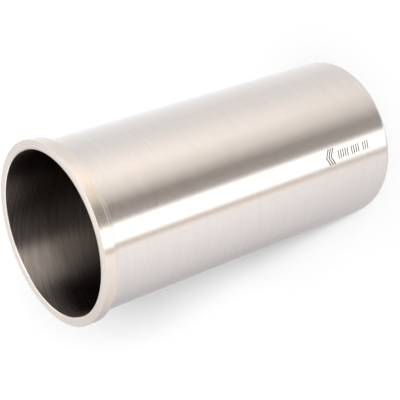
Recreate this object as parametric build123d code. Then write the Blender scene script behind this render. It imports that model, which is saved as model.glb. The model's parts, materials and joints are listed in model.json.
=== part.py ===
from build123d import *
import math
import os

# Dry cylinder liner with a flange at its top: one sleeve turned and ground all over from a cast iron tube.
# Frame: +Z is the bore axis and points at the flange. The origin is the centre of the skirt's end face,
# so the liner stands upright on its skirt. All lengths are millimetres and all angles are degrees.

# Sleeve
BORE_DIAMETER = 97.5
WALL = 2.0
OVERALL_LENGTH = 217.0

# Flange that hangs in the block's counterbore
FLANGE_OVERHANG = 3.55  # how far the flange stands out past the ground body
FLANGE_HEIGHT = 7.0
FLANGE_TOP_CHAMFER = 0.15
FLANGE_SEAT_CHAMFER = 0.4

# Relief groove under the flange, which lets the seat close up square against the block
RELIEF_WIDTH = 4.0
RELIEF_DEPTH = 0.25
RELIEF_CORNER_RADIUS = 0.4
RELIEF_RUNOUT_ANGLE = 5.0  # from the bore axis

# Ends of the bore
MOUTH_CHAMFER = 0.3  # 45 degree edge break at the mouth
MOUTH_BEVEL_WIDTH = 1.0  # shallow bevel between the edge break and the flat top face
MOUTH_BEVEL_ANGLE = 8.0  # from the top face
SKIRT_CHAMFER_LENGTH = 1.2
SKIRT_CHAMFER_ANGLE = 25.0  # from the bore axis

# Lead-in taper outside the skirt, which starts the liner in the block
LEAD_IN_LENGTH = 1.8
LEAD_IN_ANGLE = 15.0  # from the bore axis


def fall(length, angle):
    """How far a slope falls over this length, at this angle to the way the length is measured."""
    return length * math.tan(math.radians(angle))


BORE_RADIUS = BORE_DIAMETER / 2
BODY_RADIUS = BORE_RADIUS + WALL
FLANGE_RADIUS = BODY_RADIUS + FLANGE_OVERHANG
RELIEF_RADIUS = BODY_RADIUS - RELIEF_DEPTH

SEAT_HEIGHT = OVERALL_LENGTH - FLANGE_HEIGHT
RELIEF_END_HEIGHT = SEAT_HEIGHT - RELIEF_WIDTH
RUNOUT_HEIGHT = RELIEF_END_HEIGHT + RELIEF_DEPTH / math.tan(math.radians(RELIEF_RUNOUT_ANGLE))
MOUTH_HEIGHT = OVERALL_LENGTH - fall(MOUTH_BEVEL_WIDTH, MOUTH_BEVEL_ANGLE)


def flange_outline():
    """From the bore mouth over the top face and the rim to the inner end of the flange's seat."""
    return [
        (BORE_RADIUS, MOUTH_HEIGHT - MOUTH_CHAMFER),
        (BORE_RADIUS + MOUTH_CHAMFER, MOUTH_HEIGHT),
        (BORE_RADIUS + MOUTH_CHAMFER + MOUTH_BEVEL_WIDTH, OVERALL_LENGTH),
        (FLANGE_RADIUS - FLANGE_TOP_CHAMFER, OVERALL_LENGTH),
        (FLANGE_RADIUS, OVERALL_LENGTH - FLANGE_TOP_CHAMFER),
        (FLANGE_RADIUS, SEAT_HEIGHT + FLANGE_SEAT_CHAMFER),
        (FLANGE_RADIUS - FLANGE_SEAT_CHAMFER, SEAT_HEIGHT),
        (RELIEF_RADIUS + RELIEF_CORNER_RADIUS, SEAT_HEIGHT),
    ]


def body_outline():
    """From the foot of the corner radius down the relief groove and the ground body to the skirt's end."""
    lead_in_depth = fall(LEAD_IN_LENGTH, LEAD_IN_ANGLE)
    skirt_chamfer_depth = fall(SKIRT_CHAMFER_LENGTH, SKIRT_CHAMFER_ANGLE)
    return [
        (RELIEF_RADIUS, SEAT_HEIGHT - RELIEF_CORNER_RADIUS),
        (RELIEF_RADIUS, RUNOUT_HEIGHT),
        (BODY_RADIUS, RELIEF_END_HEIGHT),
        (BODY_RADIUS, LEAD_IN_LENGTH),
        (BODY_RADIUS - lead_in_depth, 0),
        (BORE_RADIUS + skirt_chamfer_depth, 0),
        (BORE_RADIUS, SKIRT_CHAMFER_LENGTH),
    ]


def wall_section():
    """The liner's wall, cut on a plane through the bore axis."""
    flange = Polyline(*flange_outline())
    body = Polyline(*body_outline())
    corner = TangentArc(flange @ 1, body @ 0, tangent=flange % 1)
    bore = Line(body @ 1, flange @ 0)
    outline = Curve() + [flange, corner, body, bore]
    return Plane.XZ * make_face(outline)


def cylinder_liner():
    """The whole liner, turned from its wall section."""
    return revolve(wall_section(), Axis.Z)


os.makedirs("parts", exist_ok=True)
export_step(cylinder_liner(), "parts/cylinder_liner.step")
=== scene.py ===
import json
import math

import bpy
from mathutils import Matrix, Vector


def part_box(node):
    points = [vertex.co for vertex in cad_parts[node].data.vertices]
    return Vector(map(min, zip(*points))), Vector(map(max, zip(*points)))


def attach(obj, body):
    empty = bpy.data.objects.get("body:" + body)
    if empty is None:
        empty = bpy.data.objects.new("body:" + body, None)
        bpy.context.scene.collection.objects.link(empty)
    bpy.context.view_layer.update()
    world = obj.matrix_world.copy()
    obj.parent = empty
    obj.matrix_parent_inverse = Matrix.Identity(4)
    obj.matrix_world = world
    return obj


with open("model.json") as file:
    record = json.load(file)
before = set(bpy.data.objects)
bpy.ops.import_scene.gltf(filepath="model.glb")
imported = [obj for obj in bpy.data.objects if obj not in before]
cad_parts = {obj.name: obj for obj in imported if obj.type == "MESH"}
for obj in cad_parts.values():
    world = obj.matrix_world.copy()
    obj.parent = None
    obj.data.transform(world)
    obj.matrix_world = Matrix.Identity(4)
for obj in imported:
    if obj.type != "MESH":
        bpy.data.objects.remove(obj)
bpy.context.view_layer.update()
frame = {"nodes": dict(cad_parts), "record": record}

# Lengths are metres and angles are degrees, in the liner's own frame: +Z up the bore, flange at the top,
# skirt standing on z = 0. An azimuth of 0 is the -Y side and 90 is the +X side.
MM = 0.001

# --- What the frame says -----------------------------------------------------------------------------
LINER = "cylinder_liner"
LINER_BODY = "root"
MOUNTS = {mount["name"]: mount for mount in frame["record"]["mounts"]}


def mount_radius(name):
    return MOUNTS[name]["dims"]["r_mm"] * MM


BORE_RADIUS = mount_radius("bore")
BODY_RADIUS = mount_radius("body_outside")
FLANGE_RADIUS = mount_radius("flange_rim")
SEAT_HEIGHT = MOUNTS["flange_seat"]["pos_m"][2]
TOP_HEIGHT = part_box(LINER)[1].z

# --- Camera ------------------------------------------------------------------------------------------
# The photograph shows the liner lying down. Here it stands, and the camera is rolled to match.
PHOTO_SIDE = 400  # pixels, for the width and the height
CAMERA_AZIMUTH = 36.0
CAMERA_ELEVATION = 33.98
CAMERA_ROLL = 109.59
FOCAL_PIXELS = 1174.0  # focal length
SENSOR_WIDTH = 36.0  # in millimetres, as Blender wants it
MOUTH_PIXEL = (50.8, 234.5)  # where the centre of the top face shows
MOUTH_DEPTH = 0.6516  # from the camera to that centre, along its line of sight

# --- Studio ------------------------------------------------------------------------------------------
FLOOR_SIDE = 4.0
FLOOR_WHITE = (0.98, 0.98, 0.98)
FLOOR_GLOW = 0.02  # seen by the camera alone
FILL_LEVEL = 0.33  # of the world's light on rough surfaces, where 1 is white

# Soft lamps in front of the liner. Each is given by where the top's shadow falls on the floor, as distances
# behind the liner and to the left of it, as seen by a camera that isn't rolled, and by its share of white.
KEY_LAMPS = [
    (320 * MM, 20 * MM, 0.18),
    (320 * MM, 60 * MM, 0.17),
    (450 * MM, 40 * MM, 0.33),
    (100 * MM, 50 * MM, 0.05),
]
KEY_ANGLE = 12.0  # how wide each lamp looks from the floor

# The room that the metal mirrors, as bands one above another. A stop is (azimuth from the camera's,
# brightness, red, blue), red and blue being shares of green. From the camera, the body's far half shows the
# bench, and its near half and the rim show the room. The wall shows in low views. The bands above it show
# in the top face and light the bore.
BENCH_STOPS = [
    (-180, 1.00, 1.03, 1.00),
    (-154, 0.97, 1.03, 1.00),
    (-123, 0.80, 1.03, 1.00),
    (-93, 0.84, 1.03, 1.00),
    (-60, 0.92, 1.03, 1.00),
    (-48, 0.80, 1.05, 0.98),
    (-42, 0.60, 1.08, 0.96),
    (-36, 1.70, 1.00, 1.00),
    (-17, 1.70, 1.00, 1.00),
    (-9, 0.42, 1.06, 0.98),
    (1, 0.46, 1.06, 0.98),
    (10, 0.48, 1.06, 0.98),
    (26, 0.66, 1.04, 0.99),
    (51, 0.74, 1.04, 0.99),
    (85, 0.85, 1.03, 1.00),
    (125, 1.00, 1.02, 1.00),
    (157, 1.10, 1.02, 1.00),
    (180, 1.00, 1.03, 1.00),
]
ROOM_STOPS = [
    (-180, 0.90, 1.01, 1.02),
    (-170, 0.61, 1.01, 1.01),
    (-145, 0.58, 1.02, 1.02),
    (-105, 0.87, 1.03, 1.02),
    (-56, 1.18, 1.03, 1.02),
    (-48, 1.26, 1.07, 0.99),
    (-44, 0.73, 1.17, 0.89),  # edge of the long lamp's screen
    (-41, 0.65, 1.20, 0.87),
    (-36, 1.90, 1.00, 1.00),  # long lamp in front
    (-17, 1.90, 1.00, 1.00),
    (-11, 0.50, 1.12, 0.94),  # gap where the camera stands
    (1, 0.31, 1.16, 0.93),
    (8, 0.30, 1.17, 0.91),
    (19, 0.68, 1.10, 0.91),
    (28, 0.94, 1.09, 0.93),
    (46, 1.24, 1.09, 0.95),  # wide soft lamp at the side
    (60, 1.19, 1.08, 0.96),
    (82, 0.99, 1.05, 0.99),
    (100, 0.93, 1.02, 1.00),
    (125, 1.02, 1.00, 1.02),
    (155, 1.17, 0.99, 1.03),
    (170, 1.14, 1.00, 1.03),
    (180, 0.90, 1.01, 1.02),
]
WALL_STOPS = [
    (-180, 0.90, 1.02, 1.00),
    (-140, 1.05, 1.02, 1.00),
    (-100, 1.05, 1.03, 1.00),
    (-60, 1.05, 1.04, 0.99),
    (-46, 0.95, 1.06, 0.98),
    (-41, 0.65, 1.12, 0.93),
    (-35, 1.20, 1.00, 1.00),
    (-18, 1.20, 1.00, 1.00),
    (-11, 0.62, 1.06, 0.97),
    (6, 0.50, 1.10, 0.94),
    (22, 0.75, 1.07, 0.95),
    (48, 1.12, 1.05, 0.97),
    (85, 0.98, 1.03, 0.99),
    (125, 1.00, 1.02, 1.00),
    (155, 1.00, 1.02, 1.00),
    (180, 0.90, 1.02, 1.00),
]
BELT_STOPS = [
    (-180, 0.60, 1.05, 0.96),
    (-165, 0.45, 1.05, 0.96),
    (-150, 0.02, 1.05, 0.96),
    (-100, 0.02, 1.05, 0.96),
    (-86, 0.80, 1.10, 0.90),
    (-62, 1.40, 1.10, 0.90),
    (-50, 0.10, 1.10, 0.90),
    (4, 0.10, 1.10, 0.90),
    (8, 1.20, 1.05, 0.96),
    (45, 1.20, 1.05, 0.96),
    (62, 2.80, 1.05, 0.96),
    (90, 2.40, 1.05, 0.96),
    (105, 1.80, 1.05, 0.96),
    (150, 1.80, 1.05, 0.96),
    (180, 0.60, 1.05, 0.96),
]
DOME_STOPS = [
    (-180, 0.76, 1.05, 0.96),
    (-162, 0.95, 1.05, 0.96),
    (-143, 0.02, 1.05, 0.96),
    (-100, 0.02, 1.10, 0.90),
    (-85, 0.25, 1.10, 0.90),
    (-50, 0.10, 1.10, 0.90),
    (4, 0.10, 1.10, 0.90),
    (8, 4.90, 1.05, 0.96),  # the lamp that lights the bore
    (48, 4.00, 1.05, 0.96),
    (68, 0.02, 1.05, 0.96),
    (143, 0.02, 1.05, 0.96),
    (162, 1.20, 1.05, 0.96),
    (180, 0.76, 1.05, 0.96),
]
CEILING_STOPS = [
    (-180, 2.10, 1.05, 0.96),
    (-166, 2.10, 1.05, 0.96),
    (-148, 0.05, 1.05, 0.96),
    (-95, 0.05, 1.05, 0.96),
    (-50, 0.30, 1.05, 0.96),
    (-30, 2.40, 1.05, 0.96),
    (30, 2.40, 1.05, 0.96),
    (55, 0.05, 1.05, 0.96),
    (148, 0.05, 1.05, 0.96),
    (166, 2.10, 1.05, 0.96),
    (180, 2.10, 1.05, 0.96),
]
ZENITH_STOPS = [
    (-180, 1.15, 1.05, 0.96),
    (-166, 1.00, 1.05, 0.96),
    (-148, 0.05, 1.05, 0.96),
    (-95, 0.05, 1.05, 0.96),
    (-50, 0.30, 1.05, 0.96),
    (-12, 0.60, 1.05, 0.96),
    (20, 1.60, 1.05, 0.96),
    (55, 2.00, 1.05, 0.96),
    (75, 0.30, 1.05, 0.96),
    (90, 0.05, 1.05, 0.96),
    (148, 0.05, 1.05, 0.96),
    (166, 1.20, 1.05, 0.96),
    (180, 1.15, 1.05, 0.96),
]
# Each band takes over from the one below it between two elevations. The bench is the lowest.
UPPER_BANDS = [
    (-49.0, -36.0, ROOM_STOPS),
    (-25.0, -16.0, WALL_STOPS),
    (1.0, 8.0, BELT_STOPS),
    (8.0, 13.0, DOME_STOPS),
    (31.0, 40.0, CEILING_STOPS),
    (41.0, 47.0, ZENITH_STOPS),
]
ROOM_PEAK = 5.0  # the ramps hold brightness as a share of this
RAMP_OFFSET = 1.5  # half a turn puts a ramp's ends behind, and a whole one keeps the sum above 0
FIRST_DEPTH = 2.5  # a ray of less Ray Depth than this has bounced once at most
SECOND_SHARE = 0.12  # of the room's brightness that is left for a ray that has bounced more often

# --- Finish ------------------------------------------------------------------------------------------
BODY_COLOUR = (0.72, 0.69, 0.66)
GROOVE_COLOUR = (0.735, 0.702, 0.675)
RIM_COLOUR = (0.76, 0.71, 0.665)
RIM_STAIN = (0.77, 0.705, 0.625)
STAIN_SCALE = 7.0  # noise cells in one radius's length round the rim
TOP_COLOUR = (0.78, 0.74, 0.715)
EDGE_COLOUR = (0.76, 0.72, 0.685)
MOUTH_COLOUR = (0.545, 0.485, 0.450)  # bore wall near the mouth, the light end of a painted shade
BORE_SHADE_COLOUR = (0.325, 0.275, 0.250)  # bore wall further in, darkened as painted shade
BORE_SHADE_START = 4 * MM  # below the top face, where the painted shade starts to darken the bore
BORE_SHADE_END = 34 * MM

BODY_ROUGHNESS = 0.20
TOP_ROUGHNESS = 0.22
EDGE_ROUGHNESS = 0.60  # worn corners are duller than the faces
EDGE_METALLIC = 0.35
BORE_ROUGHNESS = 0.35
ROUGHNESS_SPREAD = 0.03  # either way, along scratches and honing marks
ANISOTROPY = 0.9  # the scratches run round the axis
ANISOTROPY_TURN = 0.25  # of a full turn, from the tangent round the axis

FACE_DEPTH = 0.2 * MM  # what lies within this of the top or of the rim counts as part of it
BORE_MARGIN = 0.05 * MM  # the same for the bore's wall
GROOVE_END = SEAT_HEIGHT - 4.0 * MM  # where the relief groove under the flange meets the body
SEAT_FACE = 0.01 * MM  # the seat itself lies within this of its height
SEAT_CORNER = 0.4 * MM  # and its two corners within this

HONING_ANGLE = 18.0  # from a ring round the bore
HONING_WIDTH = 1.0 * MM
HONING_LENGTH = 30 * MM
HONING_DETAIL = 4.0  # levels of noise
HONING_BALANCE = 0.3  # share of the marks that climb the other way round
HONING_SHADE = 0.4  # how much the marks lighten and darken the bore
HONING_DEPTH = 3.0  # times as deep as the scratches outside

# Marks outside, which run round the axis: how wide a line is, and how many degrees long.
GRINDING_WIDTH = 0.45 * MM
GRINDING_ARC = 15
TURNING_WIDTH = 0.25 * MM
TURNING_ARC = 90
SCRATCH_SHADE = 0.03
SCRATCH_DEPTH = 0.001 * MM
BAND_WIDTH = 4 * MM
BAND_ARC = 60
BAND_SHADE = 0.008

# --- Fitting mark, etched near the skirt -------------------------------------------------------------
MARK_AZIMUTH = 22.5
MARK_DEPTH = 0.02 * MM  # a stroke reaches this far into the body and out of it
MARK_STEPS = 6  # on each side of a stroke's middle
ETCH_COLOUR = (0.10, 0.085, 0.075)
ETCH_WORN_COLOUR = (0.22, 0.195, 0.175)
ETCH_ROUGHNESS = 0.55
ETCH_WORN_ROUGHNESS = 0.40
ETCH_GRAIN = 0.4 * MM
ETCH_DEPTH = 0.004 * MM
CHEVRONS = 3
CHEVRON_HEIGHT = 45.4 * MM  # above the skirt's end
CHEVRON_HALF = 5.0 * MM  # half its length, round the body
CHEVRON_RISE = 2.6 * MM  # of its middle above its ends
CHEVRON_PITCH = 1.9 * MM
CHEVRON_WIDTH = 0.9 * MM
TICK_GROUPS = [(34.2 * MM, 5), (25.0 * MM, 4), (17.2 * MM, 3)]  # height of the lowest, number of ticks
TICK_HALF = 2.65 * MM  # half its length, round the body
TICK_PITCH = 1.9 * MM
TICK_WIDTH = 0.75 * MM

# --- Node graphs -------------------------------------------------------------------------------------
NOISE_LOW = 0.3  # most of a noise lies between these two
NOISE_HIGH = 0.7


class Graph:
    """A shader node tree being filled in. A socket takes either a number or another socket."""

    def __init__(self, owner):
        owner.use_nodes = True
        self.tree = owner.node_tree
        self.tree.nodes.clear()

    def node(self, kind, values=None, **settings):
        made = self.tree.nodes.new("ShaderNode" + kind)
        for name, value in settings.items():
            setattr(made, name, value)
        for key, value in (values or {}).items():
            self.put(made.inputs[key], value)
        return made

    def put(self, socket, value):
        if isinstance(value, bpy.types.NodeSocket):
            self.tree.links.new(value, socket)
        else:
            socket.default_value = value

    def math(self, operation, *values):
        return self.node("Math", dict(enumerate(values)), operation=operation).outputs[0]

    def both(self, first, second):
        """1 where both masks are 1, and 0 elsewhere."""
        return self.math("MULTIPLY", first, second)

    def vector(self, x, y, z):
        return self.node("CombineXYZ", {0: x, 1: y, 2: z}).outputs[0]

    def split(self, vector):
        return self.node("SeparateXYZ", {0: vector}).outputs

    def scaled(self, vector, factor):
        return self.node("VectorMath", {0: vector, "Scale": factor}, operation="SCALE").outputs[0]

    def added(self, first, second):
        return self.node("VectorMath", {0: first, 1: second}, operation="ADD").outputs[0]

    def length(self, vector):
        return self.node("VectorMath", {0: vector}, operation="LENGTH").outputs["Value"]

    def blend(self, share, low, high):
        """low where share is 0 and high where it is 1, for numbers."""
        return self.node("Mix", {0: share, 2: low, 3: high}, data_type="FLOAT").outputs[0]

    def blend_colour(self, share, low, high):
        """The same for colours."""
        return self.node("Mix", {0: share, 6: low, 7: high}, data_type="RGBA").outputs[2]

    def fade(self, value, start, end):
        """Rises smoothly from 0 at start to 1 at end."""
        values = {"Value": value, "From Min": start, "From Max": end}
        return self.node("MapRange", values, interpolation_type="SMOOTHSTEP").outputs[0]

    def noise(self, vector, scale=1.0, detail=2.0):
        return self.node("TexNoise", {"Vector": vector, "Scale": scale, "Detail": detail}).outputs[0]

    def spread(self, noise, low, high):
        """A noise's middle values stretched from low to high."""
        taken = {"Value": noise, "From Min": NOISE_LOW, "From Max": NOISE_HIGH}
        given = {"To Min": low, "To Max": high}
        return self.node("MapRange", taken | given).outputs[0]

    def shaded(self, colour, noise, spread):
        """A colour made lighter and darker by this share, by a noise."""
        return self.scaled(colour, self.spread(noise, 1 - spread, 1 + spread))


def new_material(name):
    material = bpy.data.materials.new(name)
    return material, Graph(material)


def rgba(red, green, blue):
    return (red, green, blue, 1.0)


# --- Building the studio -----------------------------------------------------------------------------
def direction(azimuth, elevation):
    """Unit vector from the liner towards something at this azimuth and elevation."""
    turn = math.radians(azimuth)
    climb = math.radians(elevation)
    level = math.cos(climb)
    return Vector((math.sin(turn) * level, -math.cos(turn) * level, math.sin(climb)))


def room_ramp(graph, position, stops):
    """One band's brightness and tint. Position runs from 0 to 1 once round, from behind the liner."""
    ramp = graph.node("ValToRGB", {0: position})
    elements = ramp.color_ramp.elements
    while len(elements) < len(stops):
        elements.new(1.0)
    for element, (azimuth, level, red, blue) in zip(elements, stops):
        share = level / ROOM_PEAK
        element.position = (azimuth + 180) / 360
        element.color = rgba(share * red, share, share * blue)
    return ramp.outputs[0]


def room_panels(graph):
    """The bands, laid one over another."""
    x, y, z = graph.split(graph.node("TexCoord").outputs["Generated"])
    azimuth = graph.math("ARCTAN2", x, graph.math("MULTIPLY", y, -1.0))
    turned = graph.math("SUBTRACT", azimuth, math.radians(CAMERA_AZIMUTH))
    turns = graph.math("DIVIDE", turned, math.tau)
    position = graph.math("FRACT", graph.math("ADD", turns, RAMP_OFFSET))
    panels = room_ramp(graph, position, BENCH_STOPS)
    for start, end, stops in UPPER_BANDS:
        above = graph.fade(z, math.sin(math.radians(start)), math.sin(math.radians(end)))
        panels = graph.blend_colour(above, panels, room_ramp(graph, position, stops))
    return panels


def build_world():
    """White to the camera, the room's panels to the metal, and one soft level to everything else.

    The panels are dimmer in a reflection of a reflection, which keeps the bore's shaded side dark.
    """
    world = bpy.data.worlds.new("studio")
    bpy.context.scene.world = world
    world.cycles.sampling_method = "NONE"
    graph = Graph(world)
    path = graph.node("LightPath").outputs
    once = graph.math("LESS_THAN", path["Ray Depth"], FIRST_DEPTH)
    strength = graph.blend(once, SECOND_SHARE * ROOM_PEAK, ROOM_PEAK)
    room = graph.node("Background", {"Color": room_panels(graph), "Strength": strength}).outputs[0]
    fill = graph.node("Background", {"Color": rgba(1, 1, 1), "Strength": FILL_LEVEL}).outputs[0]
    white = graph.node("Background", {"Color": rgba(1, 1, 1), "Strength": 1.0}).outputs[0]
    lit = graph.node("MixShader", {0: path["Is Diffuse Ray"], 1: room, 2: fill}).outputs[0]
    seen = graph.math("MAXIMUM", path["Is Camera Ray"], path["Is Transmission Ray"])
    surface = graph.node("MixShader", {0: seen, 1: lit, 2: white}).outputs[0]
    graph.node("OutputWorld", {"Surface": surface})


def floor_material():
    """White paper that keeps the shadow. Metal sees past it to the room, except under the bore."""
    material, graph = new_material("white_paper")
    path = graph.node("LightPath").outputs
    distance = graph.length(graph.node("NewGeometry").outputs["Position"])
    outside = graph.math("GREATER_THAN", distance, BODY_RADIUS)
    paper = graph.node("BsdfDiffuse", {"Color": rgba(*FLOOR_WHITE)}).outputs[0]
    glow_level = graph.math("MULTIPLY", path["Is Camera Ray"], FLOOR_GLOW)
    glow = graph.node("Emission", {"Strength": glow_level}).outputs[0]
    sheet = graph.node("AddShader", {0: paper, 1: glow}).outputs[0]
    clear = graph.node("BsdfTransparent").outputs[0]
    passing = graph.both(path["Is Glossy Ray"], outside)
    surface = graph.node("MixShader", {0: passing, 1: sheet, 2: clear}).outputs[0]
    graph.node("OutputMaterial", {"Surface": surface})
    return material


def build_floor():
    half = FLOOR_SIDE / 2
    corners = [(-half, -half, 0), (half, -half, 0), (half, half, 0), (-half, half, 0)]
    mesh = bpy.data.meshes.new("floor")
    mesh.from_pydata(corners, [], [(0, 1, 2, 3)])
    mesh.materials.append(floor_material())
    floor = bpy.data.objects.new("floor", mesh)
    bpy.context.scene.collection.objects.link(floor)


def build_key_lamps():
    """They light the floor and cast the shadow. The metal mirrors the room's panels instead."""
    front = direction(CAMERA_AZIMUTH, 0)
    side = direction(CAMERA_AZIMUTH + 90, 0)
    for behind, aside, share in KEY_LAMPS:
        towards = Vector((0, 0, TOP_HEIGHT)) + front * behind + side * aside
        towards.normalize()
        lamp = bpy.data.lights.new("key", "SUN")
        lamp.energy = share * math.pi / towards.z
        lamp.angle = math.radians(KEY_ANGLE)
        key = bpy.data.objects.new("key", lamp)
        key.visible_glossy = False
        key.rotation_mode = "QUATERNION"
        key.rotation_quaternion = towards.to_track_quat("Z", "Y")
        bpy.context.scene.collection.objects.link(key)


def build_camera():
    """Turned as the camera's angles say, and placed so that the mouth's centre shows at its pixel."""
    back = direction(CAMERA_AZIMUTH, CAMERA_ELEVATION)
    level = direction(CAMERA_AZIMUTH + 90, 0)
    upright = back.cross(level)
    roll = math.radians(CAMERA_ROLL)
    right = level * math.cos(roll) - upright * math.sin(roll)
    up = level * math.sin(roll) + upright * math.cos(roll)

    pixel = MOUTH_DEPTH / FOCAL_PIXELS
    across = (MOUTH_PIXEL[0] - PHOTO_SIDE / 2) * pixel
    down = (MOUTH_PIXEL[1] - PHOTO_SIDE / 2) * pixel
    mouth = Vector((0, 0, TOP_HEIGHT))
    place = mouth + back * MOUTH_DEPTH - right * across + up * down
    turn = Matrix((right, up, back)).transposed().to_4x4()

    data = bpy.data.cameras.new("camera")
    data.sensor_width = SENSOR_WIDTH
    data.lens = SENSOR_WIDTH * FOCAL_PIXELS / PHOTO_SIDE
    camera = bpy.data.objects.new("camera", data)
    camera.matrix_world = Matrix.Translation(place) @ turn
    bpy.context.scene.collection.objects.link(camera)
    bpy.context.scene.camera = camera


# --- Finishing the liner -----------------------------------------------------------------------------
class LinerPlace:
    """Where a shaded point lies on the liner, and the masks of its surfaces."""

    def __init__(self, graph):
        self.graph = graph
        x, y, self.z = graph.split(graph.node("TexCoord").outputs["Object"])
        self.radius = graph.length(graph.vector(x, y, 0.0))
        unit_x = graph.math("DIVIDE", x, self.radius)
        unit_y = graph.math("DIVIDE", y, self.radius)
        self.around = graph.vector(unit_x, unit_y, 0.0)
        self.angle = graph.math("ARCTAN2", y, x)
        self.depth = graph.math("SUBTRACT", TOP_HEIGHT, self.z)
        self.in_bore = graph.math("LESS_THAN", self.radius, BORE_RADIUS + BORE_MARGIN)
        self.on_top = graph.math("LESS_THAN", self.depth, FACE_DEPTH)
        self.on_rim = graph.math("GREATER_THAN", self.radius, FLANGE_RADIUS - FACE_DEPTH)
        self.in_groove = self.groove_mask()
        self.on_corner = self.corner_mask()

    def groove_mask(self):
        graph = self.graph
        below_seat = graph.math("LESS_THAN", self.z, SEAT_HEIGHT + FACE_DEPTH)
        above_end = graph.math("GREATER_THAN", self.z, GROOVE_END)
        return graph.both(below_seat, above_end)

    def corner_mask(self):
        """The flange's worn corners: the top's outer one, and the two next to the seat."""
        graph = self.graph
        off_seat = graph.math("ABSOLUTE", graph.math("SUBTRACT", self.z, SEAT_HEIGHT))
        past_face = graph.math("GREATER_THAN", off_seat, SEAT_FACE)
        within_corner = graph.math("LESS_THAN", off_seat, SEAT_CORNER)
        outside = graph.math("GREATER_THAN", self.radius, (BORE_RADIUS + BODY_RADIUS) / 2)
        by_seat = graph.both(graph.both(past_face, within_corner), outside)
        return graph.math("MAXIMUM", graph.both(self.on_top, self.on_rim), by_seat)

    def rings(self, across, width, arc):
        """Noise drawn out round the axis: lines about this wide, each about this many degrees long."""
        graph = self.graph
        turn = graph.scaled(self.around, 1 / math.radians(arc))
        step = graph.vector(0.0, 0.0, graph.math("DIVIDE", across, width))
        return graph.noise(graph.added(turn, step))

    def honing(self, side):
        """Noise drawn out along marks that climb the bore one way round, or the other where side is -1."""
        graph = self.graph
        slope = math.radians(HONING_ANGLE)
        climb = side * BORE_RADIUS * math.tan(slope)
        phase = graph.math("SUBTRACT", self.angle, graph.math("DIVIDE", self.z, climb))
        lines = BORE_RADIUS * math.sin(slope) / HONING_WIDTH
        x = graph.math("MULTIPLY", graph.math("COSINE", phase), lines)
        y = graph.math("MULTIPLY", graph.math("SINE", phase), lines)
        step = graph.math("DIVIDE", self.z, HONING_LENGTH * math.sin(slope))
        return graph.noise(graph.vector(x, y, step), detail=HONING_DETAIL)


def outside_colour(graph, place, scratches, bands):
    """Ground body, turned groove and flange, and worn corners."""
    stain = graph.spread(graph.noise(place.around, scale=STAIN_SCALE), 0.0, 1.0)
    rim = graph.blend_colour(stain, rgba(*RIM_COLOUR), rgba(*RIM_STAIN))
    colour = graph.blend_colour(place.in_groove, rgba(*BODY_COLOUR), rgba(*GROOVE_COLOUR))
    colour = graph.blend_colour(place.on_rim, colour, rim)
    colour = graph.blend_colour(place.on_top, colour, rgba(*TOP_COLOUR))
    colour = graph.blend_colour(place.on_corner, colour, rgba(*EDGE_COLOUR))
    colour = graph.shaded(colour, scratches, SCRATCH_SHADE)
    return graph.shaded(colour, bands, BAND_SHADE)


def bore_colour(graph, place, honing):
    """Honed wall, with painted shade: lighter at the mouth and darker further in."""
    # painted shade: the colour darkens with depth, as the light does inside the bore
    bore_shade = graph.fade(place.depth, BORE_SHADE_START, BORE_SHADE_END)
    colour = graph.blend_colour(bore_shade, rgba(*MOUTH_COLOUR), rgba(*BORE_SHADE_COLOUR))
    return graph.shaded(colour, honing, HONING_SHADE)


def liner_roughness(graph, place, scratches, honing):
    """Each surface's own roughness, uneven along its marks."""
    outside_spread = graph.spread(scratches, -ROUGHNESS_SPREAD, ROUGHNESS_SPREAD)
    outside = graph.blend(place.on_top, BODY_ROUGHNESS, TOP_ROUGHNESS)
    outside = graph.math("ADD", outside, outside_spread)
    outside = graph.blend(place.on_corner, outside, EDGE_ROUGHNESS)
    bore_spread = graph.spread(honing, ROUGHNESS_SPREAD, -ROUGHNESS_SPREAD)
    bore = graph.math("ADD", BORE_ROUGHNESS, bore_spread)
    return graph.blend(place.in_bore, outside, bore)


def liner_relief(graph, place, scratches, honing):
    """Scratches outside and honing marks in the bore, as a bent normal."""
    outside = graph.spread(scratches, -1.0, 1.0)
    bore = graph.spread(honing, -HONING_DEPTH, HONING_DEPTH)
    height = graph.blend(place.in_bore, outside, bore)
    return graph.node("Bump", {"Height": height, "Distance": SCRATCH_DEPTH}).outputs[0]


def liner_iron():
    """Cast iron, ground outside, turned on the flange and honed inside."""
    material, graph = new_material("liner_iron")
    place = LinerPlace(graph)
    bands = place.rings(place.z, BAND_WIDTH, BAND_ARC)
    honing = graph.blend(HONING_BALANCE, place.honing(1), place.honing(-1))
    ground = place.rings(place.z, GRINDING_WIDTH, GRINDING_ARC)
    turned = place.rings(graph.math("ADD", place.z, place.radius), TURNING_WIDTH, TURNING_ARC)
    lathe = graph.math("MAXIMUM", place.on_top, place.on_rim)
    scratches = graph.blend(lathe, ground, turned)
    outside = outside_colour(graph, place, scratches, bands)
    values = {
        "Base Color": graph.blend_colour(place.in_bore, outside, bore_colour(graph, place, honing)),
        "Roughness": liner_roughness(graph, place, scratches, honing),
        "Metallic": graph.blend(place.on_corner, 1.0, EDGE_METALLIC),
        "Anisotropic": ANISOTROPY,
        "Anisotropic Rotation": ANISOTROPY_TURN,
        "Tangent": graph.node("Tangent", direction_type="RADIAL", axis="Z").outputs[0],
        "Normal": liner_relief(graph, place, scratches, honing),
    }
    surface = graph.node("BsdfPrincipled", values).outputs[0]
    graph.node("OutputMaterial", {"Surface": surface})
    return material


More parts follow.
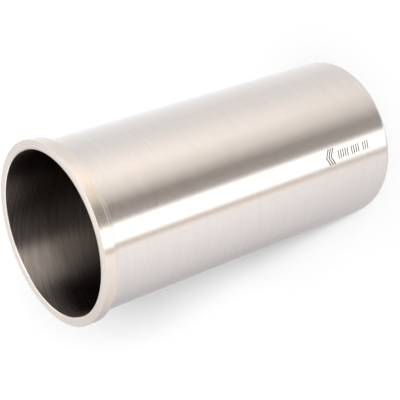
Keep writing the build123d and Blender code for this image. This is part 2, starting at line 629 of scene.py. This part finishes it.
# --- Building the fitting mark -----------------------------------------------------------------------
def etched_material():
    """Dark oxide, thinner in spots."""
    material, graph = new_material("etched_mark")
    place = graph.scaled(graph.node("TexCoord").outputs["Object"], 1 / ETCH_GRAIN)
    worn = graph.spread(graph.noise(place), 0.0, 1.0)
    values = {
        "Base Color": graph.blend_colour(worn, rgba(*ETCH_COLOUR), rgba(*ETCH_WORN_COLOUR)),
        "Roughness": graph.blend(worn, ETCH_ROUGHNESS, ETCH_WORN_ROUGHNESS),
        "Metallic": 1.0,
        "Normal": graph.node("Bump", {"Height": worn, "Distance": ETCH_DEPTH}).outputs[0],
    }
    surface = graph.node("BsdfPrincipled", values).outputs[0]
    graph.node("OutputMaterial", {"Surface": surface})
    return material


def mark_stroke(half_length, rise, height, width):
    """A closed strip wrapped round the body, its middle raised towards the flange by rise."""
    points = []
    for step in range(-MARK_STEPS, MARK_STEPS + 1):
        share = step / MARK_STEPS
        out = direction(MARK_AZIMUTH + math.degrees(share * half_length / BODY_RADIUS), 0)
        foot = height + rise * (1 - abs(share))
        for radius in (BODY_RADIUS - MARK_DEPTH, BODY_RADIUS + MARK_DEPTH):
            points.append(out * radius + Vector((0, 0, foot)))
            points.append(out * radius + Vector((0, 0, foot + width)))

    # Each step has 4 points. Four faces join it to the next step, and one closes each end.
    faces = [(0, 1, 3, 2)]
    last = len(points) - 4
    for a in range(0, last, 4):
        faces += [(a, a + 4, a + 5, a + 1), (a + 2, a + 3, a + 7, a + 6)]
        faces += [(a, a + 2, a + 6, a + 4), (a + 1, a + 5, a + 7, a + 3)]
    faces.append((last, last + 2, last + 3, last + 1))
    return points, faces


def mark_strokes():
    """Chevrons that point at the flange, then groups of ticks, one below another down to the skirt."""
    strokes = []
    for index in range(CHEVRONS):
        height = CHEVRON_HEIGHT + index * CHEVRON_PITCH
        strokes.append(mark_stroke(CHEVRON_HALF, CHEVRON_RISE, height, CHEVRON_WIDTH))
    for start, count in TICK_GROUPS:
        for index in range(count):
            height = start + index * TICK_PITCH
            strokes.append(mark_stroke(TICK_HALF, 0.0, height, TICK_WIDTH))
    return strokes


def build_mark():
    points = []
    faces = []
    for stroke_points, stroke_faces in mark_strokes():
        first = len(points)
        points += stroke_points
        faces += [tuple(first + corner for corner in face) for face in stroke_faces]
    mesh = bpy.data.meshes.new("fitting_mark")
    mesh.from_pydata(points, [], faces)
    mesh.materials.append(etched_material())
    mark = bpy.data.objects.new("fitting_mark", mesh)
    bpy.context.scene.collection.objects.link(mark)
    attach(mark, LINER_BODY)


def finish_liner():
    slots = frame["nodes"][LINER].material_slots
    slots[0].material = liner_iron()


# --- The scene ---------------------------------------------------------------------------------------
build_world()
build_floor()
build_key_lamps()
build_camera()
finish_liner()
build_mark()

bpy.context.scene.view_settings.view_transform = "Standard"
